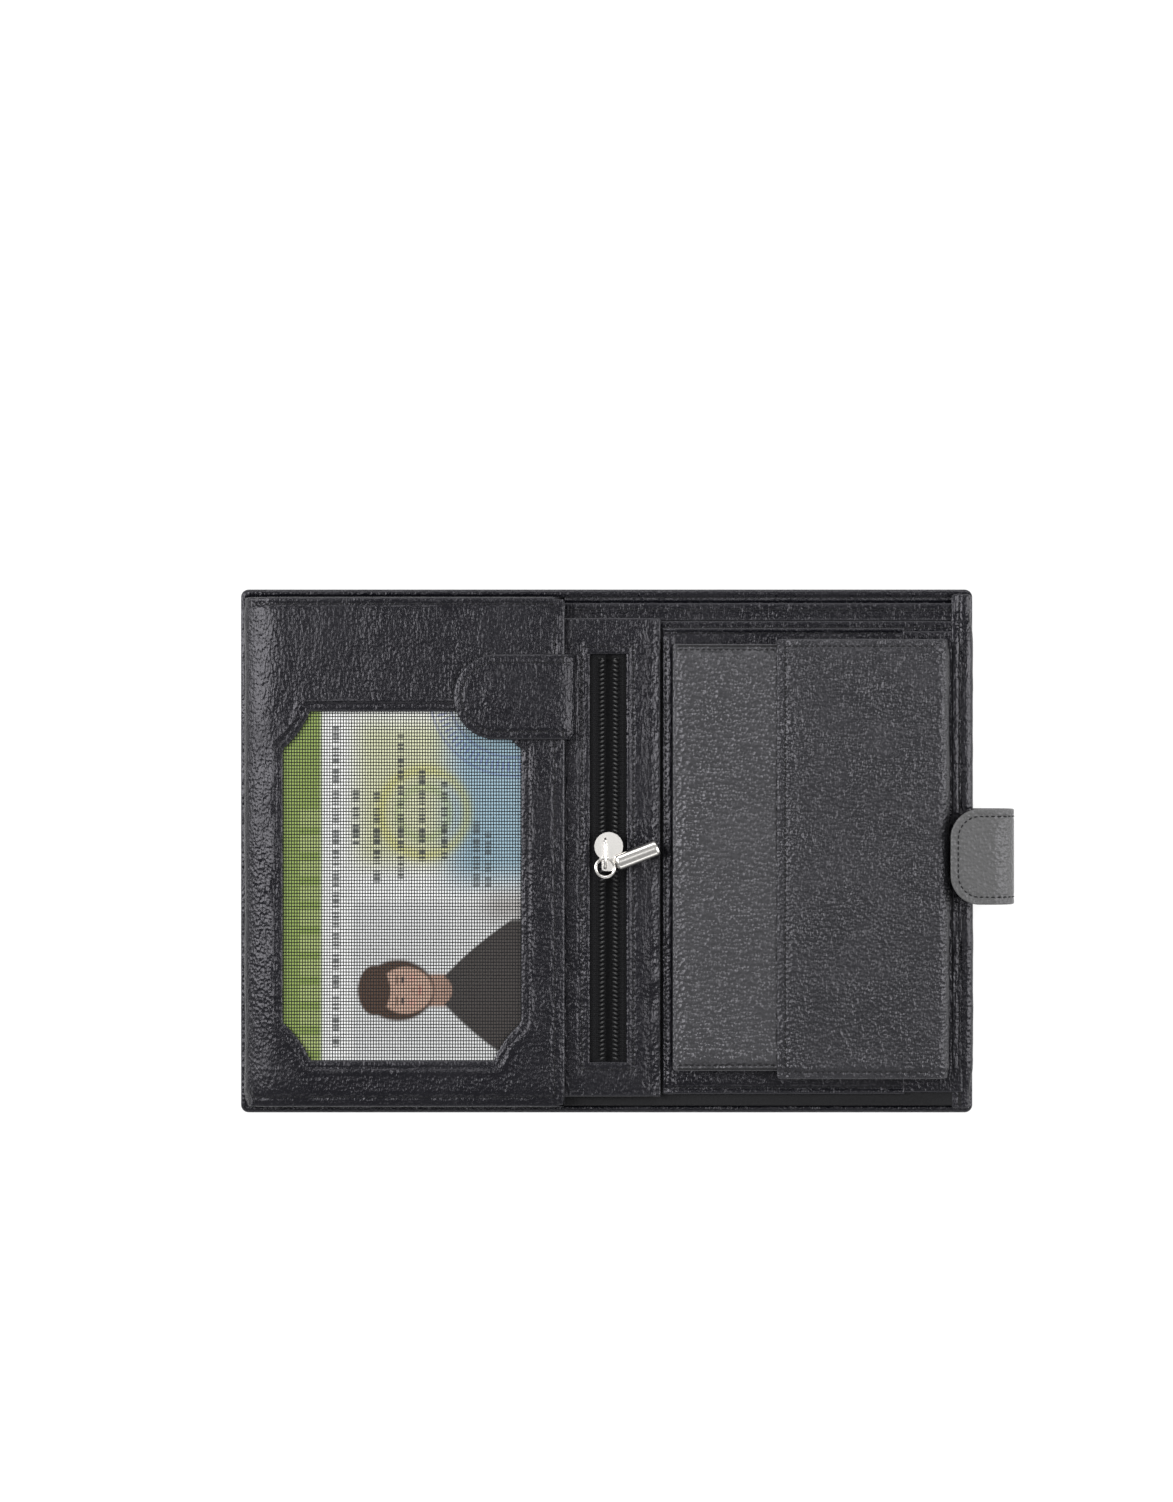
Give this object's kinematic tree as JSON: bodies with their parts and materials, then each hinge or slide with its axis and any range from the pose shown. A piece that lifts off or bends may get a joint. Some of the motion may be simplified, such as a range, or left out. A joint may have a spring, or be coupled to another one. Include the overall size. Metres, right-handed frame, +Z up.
{
  "type": "trifold wallet",
  "caption": "Leather trifold wallet lying open, with a swinging card leaf and netted window, snap tab, spine zip pocket, flapped coin purse and closing strap.",
  "frame": {"origin": "middle of the open cover's underside, on the spine, where it rests on a table", "axes": "+X from the card leaf to the coin purse, across the folds; +Y to the top edge along the folds; +Z up out of the table, the side that the wallet's inside faces"},
  "size_m": [0.1989, 0.135, 0.0129],
  "materials": {
    "black_leather": "semi-gloss grained black leather",
    "lining": "matte black woven lining",
    "strap_leather": "matte dark grey leather, edges layered",
    "window_net": "fine black square net",
    "card": null,
    "zip_tape": "woven black tape",
    "zip_coil": "black nylon coil",
    "chrome": "polished nickel plate"
  },
  "bodies": {
    "left_panel": {"cover_left": "black_leather", "cover_snap_socket": "chrome", "note_divider_back_left": "lining", "note_divider_front_left": "lining", "card_slot_base": "lining", "card_slot_1": "black_leather", "card_slot_2": "black_leather", "card_slot_3": "black_leather", "leaf_fold_strip": "black_leather", "tab_root": "black_leather"},
    "spine": {"cover_spine": "black_leather", "note_divider_back_spine": "lining", "note_divider_front_spine": "lining", "zip_pocket_lining": "lining", "zip_frame": "black_leather", "zip_tape_left": "zip_tape", "zip_tape_right": "zip_tape", "zip_coil_left": "zip_coil", "zip_coil_right": "zip_coil"},
    "right_panel": {"cover_right": "black_leather", "note_divider_back_right": "lining", "note_divider_front_right": "lining", "right_inner_panel": "black_leather", "coin_purse_back": "lining", "coin_wall_left": "black_leather", "coin_wall_bottom": "lining", "coin_wall_top": "lining", "coin_purse_front": "black_leather", "coin_snap_stud": "chrome", "coin_flap_hinge": "black_leather", "strap_root": "strap_leather"},
    "leaf": {"leaf_back": "black_leather", "leaf_net": "window_net", "leaf_front": "black_leather", "leaf_snap_stud": "chrome"},
    "id_card": {"id_card": "card"},
    "leaf_tab": {"tab_outer": "black_leather", "tab_lining": "lining", "tab_snap_socket": "chrome"},
    "coin_flap": {"coin_flap_outer": "black_leather", "coin_flap_lining": "lining", "coin_snap_socket": "chrome"},
    "strap_curl": {"strap_curl": "strap_leather"},
    "strap_tip": {"strap_tip_lining": "lining", "strap_tip_outer": "strap_leather", "strap_snap_stud": "chrome"},
    "zip_slider": {"zip_slider": "chrome", "slider_bail": "chrome"},
    "pull_eye": {"pull_eye": "chrome"},
    "pull_barrel": {"pull_barrel": "chrome"}
  },
  "joints": [
    {"name": "fold_left", "type": "hinge", "parent": "left_panel", "child": "spine", "pos_m": [-0.006, 0, 0.0055], "axis": [0, -1, 0], "range_deg": [0, 90]},
    {"name": "fold_right", "type": "hinge", "parent": "spine", "child": "right_panel", "pos_m": [0.007, 0, 0.0035], "axis": [0, -1, 0], "range_deg": [0, 90]},
    {"name": "leaf_swing", "type": "hinge", "parent": "left_panel", "child": "leaf", "pos_m": [-0.0935, 0, 0.0046], "axis": [0, 1, 0], "range_deg": [-180, 0], "deforming": ["tab_outer", "tab_lining", "tab_snap_socket"]},
    {"name": "card_pull", "type": "slide", "parent": "leaf", "child": "id_card", "axis": [0, -1, 0], "range_m": [-0.095, 0]},
    {"name": "tab_lift", "type": "hinge", "parent": "left_panel", "child": "leaf_tab", "pos_m": [-0.0105, 0.03965, 0.0095], "axis": [0, -1, 0], "range_deg": [-120, 0]},
    {"name": "coin_flap_lift", "type": "hinge", "parent": "right_panel", "child": "coin_flap", "pos_m": [0.0862, 0, 0.011], "axis": [0, -1, 0], "range_deg": [-110, 0]},
    {"name": "strap_unroll", "type": "hinge", "parent": "right_panel", "child": "strap_curl", "pos_m": [0.1023, -0.0012, 0.0026], "axis": [0, -1, 0], "range_deg": [-90, 0]},
    {"name": "strap_tip_unroll", "type": "hinge", "parent": "strap_curl", "child": "strap_tip", "pos_m": [0.1023, -0.0012, 0.0108], "axis": [0, -1, 0], "range_deg": [-90, 0]},
    {"name": "zip_slide", "type": "slide", "parent": "spine", "child": "zip_slider", "axis": [0, -1, 0], "range_m": [-0.0445, 0.047]},
    {"name": "pull_swivel", "type": "hinge", "parent": "zip_slider", "child": "pull_eye", "pos_m": [-0.0005, -0.0041, 0.0083], "axis": [0, 0, 1], "range_deg": [-112, 0]},
    {"name": "pull_lift", "type": "hinge", "parent": "pull_eye", "child": "pull_barrel", "pos_m": [0.00183, -0.0032, 0.0083], "axis": [-0.3584, 0.9336, 0], "range_deg": [-80, 0]}
  ],
  "couplings": [
    {"joint": "fold_right", "follows": "fold_left", "ratio": 1},
    {"joint": "pull_swivel", "follows": "fold_left", "ratio": -1.2333},
    {"joint": "strap_tip_unroll", "follows": "strap_unroll", "ratio": 1}
  ]
}
